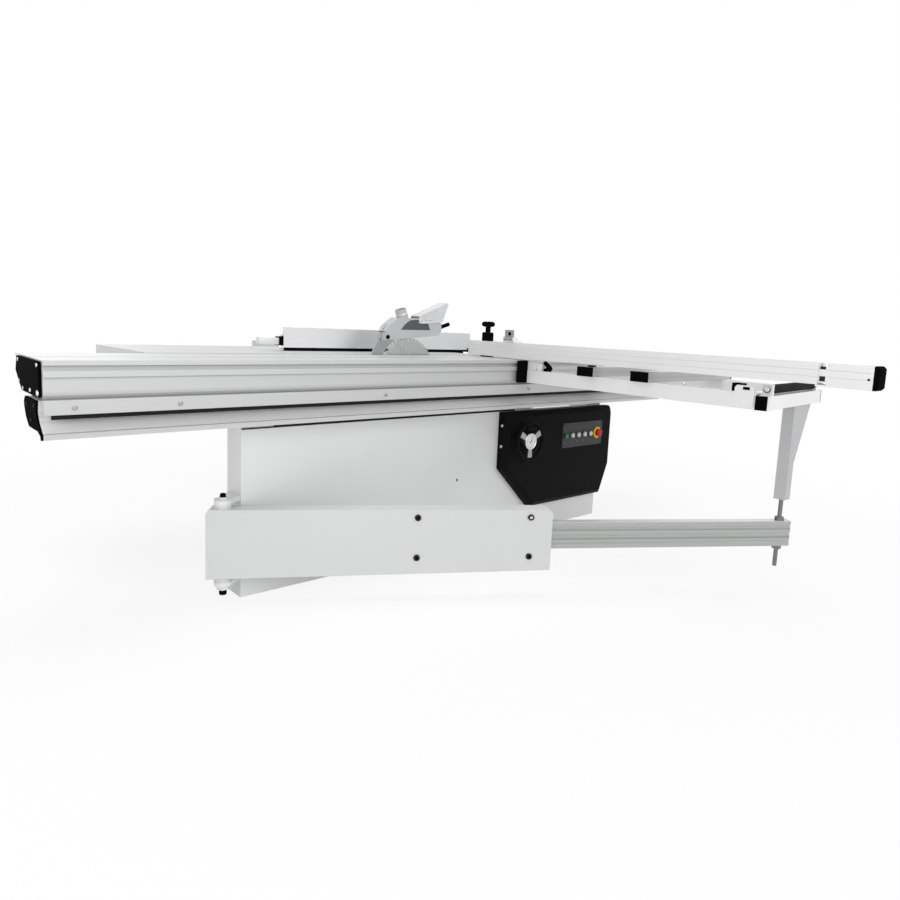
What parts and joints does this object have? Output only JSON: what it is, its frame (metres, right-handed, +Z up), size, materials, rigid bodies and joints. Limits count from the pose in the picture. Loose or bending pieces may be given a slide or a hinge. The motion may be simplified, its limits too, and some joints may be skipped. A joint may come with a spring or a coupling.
{
  "type": "sliding table saw",
  "caption": "Sliding table saw: long carriage on a beam, crosscut frame on a swing arm, tilting blade with guard, rip fence and a control housing.",
  "frame": {"origin": "on the floor, straight under the centre of the main blade", "axes": "+X along the carriage towards the operator's end, +Y across it towards the rip fence, +Z up"},
  "size_m": [3.216, 3.187, 1.09],
  "materials": {
    "cast_iron_top": "ground",
    "white_paint": "satin powder coat",
    "bare_aluminium": "clear anodised",
    "black_plastic": "fine grain",
    "grey_panel": "fine grain",
    "steel": "machined",
    "motor_paint": "gloss",
    "belt_rubber": "matte",
    "roller_black": "smooth",
    "cage_plastic": "smooth",
    "guard_plastic": "moulded",
    "green_cap": "gloss",
    "white_cap": "gloss",
    "red_cap": "gloss"
  },
  "bodies": {
    "base": {"cast_table": "cast_iron_top", "outfeed_table": "white_paint", "side_table": "white_paint", "front_stand": "white_paint", "stand_columns": "white_paint", "slide_beam": "bare_aluminium", "beam_caps": "black_plastic", "base_plate": "white_paint", "cabinet_ends": "white_paint", "cabinet_side": "white_paint", "arm_pivot": "white_paint", "control_housing": "black_plastic", "button_panel": "grey_panel", "guide_bar": "steel", "trunnion_rails": "steel"},
    "door": {"cabinet_door": "white_paint"},
    "sliding_carriage": {"carriage": "bare_aluminium", "carriage_caps": "black_plastic", "frame_mounts": "black_plastic", "frame_beams": "white_paint", "support_bars": "bare_aluminium", "frame_caps": "black_plastic", "support_post": "bare_aluminium", "frame_brackets": "white_paint"},
    "cage": {"roller_cage": "cage_plastic"},
    "outer_roller": {"edge_roller": "roller_black"},
    "frame_knob": {"table_knob": "black_plastic"},
    "mitre_fence": {"crosscut_fence": "bare_aluminium", "fence_clamp": "black_plastic"},
    "clamp_handle": {"fence_handle": "black_plastic"},
    "telescope": {"fence_extension": "bare_aluminium", "fence_cap": "black_plastic"},
    "stop_finger": {"flip_stop": "bare_aluminium"},
    "outer_arm": {"swing_arm": "white_paint", "guide_rollers": "black_plastic"},
    "telescoping_arm": {"inner_arm": "bare_aluminium", "support_rod": "steel"},
    "cradle": {"saw_cradle": "steel"},
    "lift": {"lift_slide": "steel", "motor": "motor_paint", "drive_belt": "belt_rubber", "riving_knife": "steel"},
    "spindle": {"arbor": "steel", "main_blade": "steel"},
    "motor_rotor": {"motor_pulley": "steel"},
    "scorer": {"scoring_blade": "steel"},
    "guard": {"guard_hood": "guard_plastic", "guard_lever": "black_plastic"},
    "visor": {"guard_visor": "guard_plastic"},
    "wheel": {"handwheel": "black_plastic"},
    "button_green": {"green_button": "green_cap"},
    "button_a": {"white_button_1": "white_cap"},
    "button_b": {"white_button_2": "white_cap"},
    "button_c": {"white_button_3": "white_cap"},
    "button_d": {"white_button_4": "white_cap"},
    "button_stop": {"stop_button": "red_cap"},
    "rip": {"rip_fence": "bare_aluminium", "rip_trim": "black_plastic", "rip_carrier": "black_plastic"},
    "lock": {"rip_lock": "black_plastic"}
  },
  "joints": [
    {"name": "door_hinge", "type": "hinge", "parent": "base", "child": "door", "pos_m": [-0.438, 0.589, 0.4], "axis": [0, 0, 1], "range_deg": [0, 110]},
    {"name": "carriage_slide", "type": "slide", "parent": "base", "child": "sliding_carriage", "axis": [1, 0, 0], "range_m": [-1.2, 1.2]},
    {"name": "cage_slide", "type": "slide", "parent": "base", "child": "cage", "axis": [1, 0, 0], "range_m": [-0.6, 0.6]},
    {"name": "edge_roller_spin", "type": "hinge", "parent": "sliding_carriage", "child": "outer_roller", "pos_m": [0.65449, -1.41667, 0.82], "axis": [0.9957, 0.0924, 0], "continuous": true},
    {"name": "frame_knob_turn", "type": "hinge", "parent": "sliding_carriage", "child": "frame_knob", "pos_m": [0.379, -0.502, 0.82], "axis": [0, 0, 1], "range_deg": [-90, 90]},
    {"name": "fence_swing", "type": "hinge", "parent": "sliding_carriage", "child": "mitre_fence", "pos_m": [0.369, -0.134, 0.856], "axis": [0, 0, 1], "range_deg": [0, 45]},
    {"name": "clamp_handle_turn", "type": "hinge", "parent": "mitre_fence", "child": "clamp_handle", "pos_m": [0.369, -0.134, 0.98], "axis": [0, 0, 1], "range_deg": [-90, 90]},
    {"name": "fence_telescope", "type": "slide", "parent": "mitre_fence", "child": "telescope", "axis": [0, -1, 0], "range_m": [-0.024, 0.35]},
    {"name": "stop_flip", "type": "hinge", "parent": "mitre_fence", "child": "stop_finger", "pos_m": [0.336, -0.305, 0.939], "axis": [0, -1, 0], "range_deg": [0, 180]},
    {"name": "arm_swing", "type": "hinge", "parent": "base", "child": "outer_arm", "pos_m": [-0.968, -0.244, 0.2165], "axis": [0, 0, 1], "range_deg": [-85, 6]},
    {"name": "arm_telescope", "type": "slide", "parent": "outer_arm", "child": "telescoping_arm", "axis": [0.848, -0.5299, 0], "range_m": [-0.4, 0.2]},
    {"name": "blade_tilt", "type": "hinge", "parent": "base", "child": "cradle", "pos_m": [0, 0, 0.85], "axis": [-1, 0, 0], "range_deg": [0, 45]},
    {"name": "blade_lift", "type": "slide", "parent": "cradle", "child": "lift", "axis": [0, 0, 1], "range_m": [-0.058, 0.004]},
    {"name": "blade_spin", "type": "hinge", "parent": "lift", "child": "spindle", "pos_m": [0, 0, 0.776], "axis": [0, 1, 0], "continuous": true},
    {"name": "motor_spin", "type": "hinge", "parent": "lift", "child": "motor_rotor", "pos_m": [0.11, 0.12, 0.601], "axis": [0, 1, 0], "continuous": true},
    {"name": "scoring_spin", "type": "hinge", "parent": "cradle", "child": "scorer", "pos_m": [0.232, 0.03, 0.785], "axis": [0, 1, 0], "continuous": true},
    {"name": "guard_raise", "type": "hinge", "parent": "lift", "child": "guard", "pos_m": [-0.135, 0, 0.927], "axis": [0, -1, 0], "range_deg": [0, 20]},
    {"name": "visor_turn", "type": "hinge", "parent": "guard", "child": "visor", "pos_m": [0.048, 0, 1], "axis": [0, -1, 0], "range_deg": [-20, 0]},
    {"name": "wheel_turn", "type": "hinge", "parent": "base", "child": "wheel", "pos_m": [0.487, -0.3, 0.466], "axis": [0, 1, 0], "range_deg": [0, 1080]},
    {"name": "green_press", "type": "slide", "parent": "base", "child": "button_green", "axis": [0, 1, 0], "range_m": [0, 0.004], "stiffness_N_per_m": 800},
    {"name": "white_press_1", "type": "slide", "parent": "base", "child": "button_a", "axis": [0, 1, 0], "range_m": [0, 0.004], "stiffness_N_per_m": 800},
    {"name": "white_press_2", "type": "slide", "parent": "base", "child": "button_b", "axis": [0, 1, 0], "range_m": [0, 0.004], "stiffness_N_per_m": 800},
    {"name": "white_press_3", "type": "slide", "parent": "base", "child": "button_c", "axis": [0, 1, 0], "range_m": [0, 0.004], "stiffness_N_per_m": 800},
    {"name": "white_press_4", "type": "slide", "parent": "base", "child": "button_d", "axis": [0, 1, 0], "range_m": [0, 0.004], "stiffness_N_per_m": 800},
    {"name": "stop_press", "type": "slide", "parent": "base", "child": "button_stop", "axis": [0, 1, 0], "range_m": [0, 0.004], "stiffness_N_per_m": 800},
    {"name": "rip_slide", "type": "slide", "parent": "base", "child": "rip", "axis": [0, 1, 0], "range_m": [-0.185, 0.9]},
    {"name": "lock_turn", "type": "hinge", "parent": "rip", "child": "lock", "pos_m": [0.549, 0.285, 0.9025], "axis": [-1, 0, 0], "range_deg": [-60, 0]}
  ],
  "couplings": [
    {"joint": "cage_slide", "follows": "carriage_slide", "ratio": 0.5},
    {"joint": "motor_spin", "follows": "blade_spin", "ratio": 0.75},
    {"joint": "wheel_turn", "follows": "blade_tilt", "ratio": 24}
  ]
}
